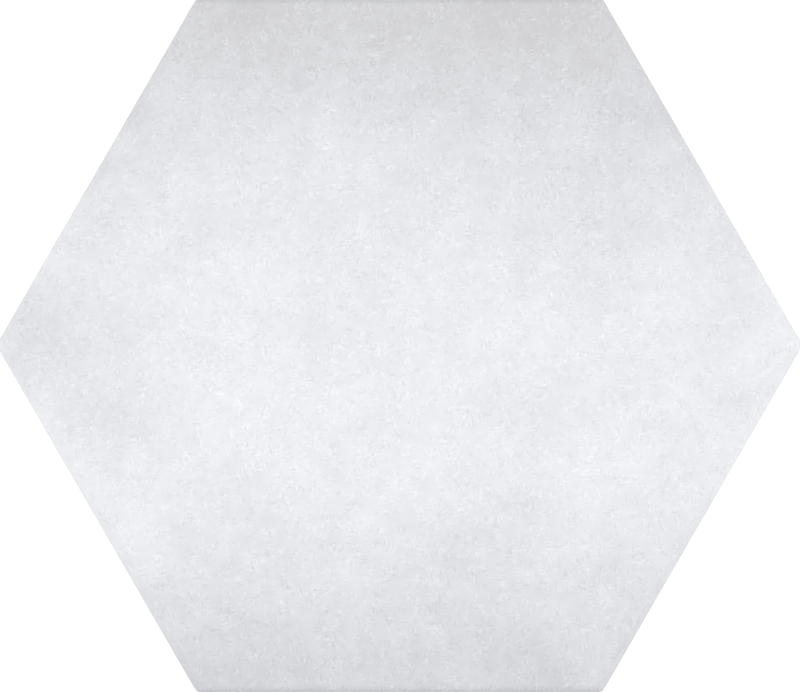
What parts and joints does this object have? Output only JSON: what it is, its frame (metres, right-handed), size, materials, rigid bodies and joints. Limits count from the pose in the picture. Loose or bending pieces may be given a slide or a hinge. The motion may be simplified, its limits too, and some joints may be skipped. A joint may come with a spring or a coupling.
{
  "type": "porcelain tile",
  "caption": "Flat hexagonal porcelain stoneware tile with a pale grey, matt cement-look face, rounded arris and a keyed back, for floors and walls.",
  "frame": {"origin": "middle of the back, in the plane of its ribs, where the tile rests when it lies face up", "axes": "+Z out of the glazed face; +X from corner to corner; Y from flat to flat"},
  "size_m": [0.248, 0.216, 0.009],
  "materials": {
    "porcelain": "matte"
  },
  "bodies": {
    "root": {"porcelain_tile": "porcelain"}
  },
  "joints": []
}
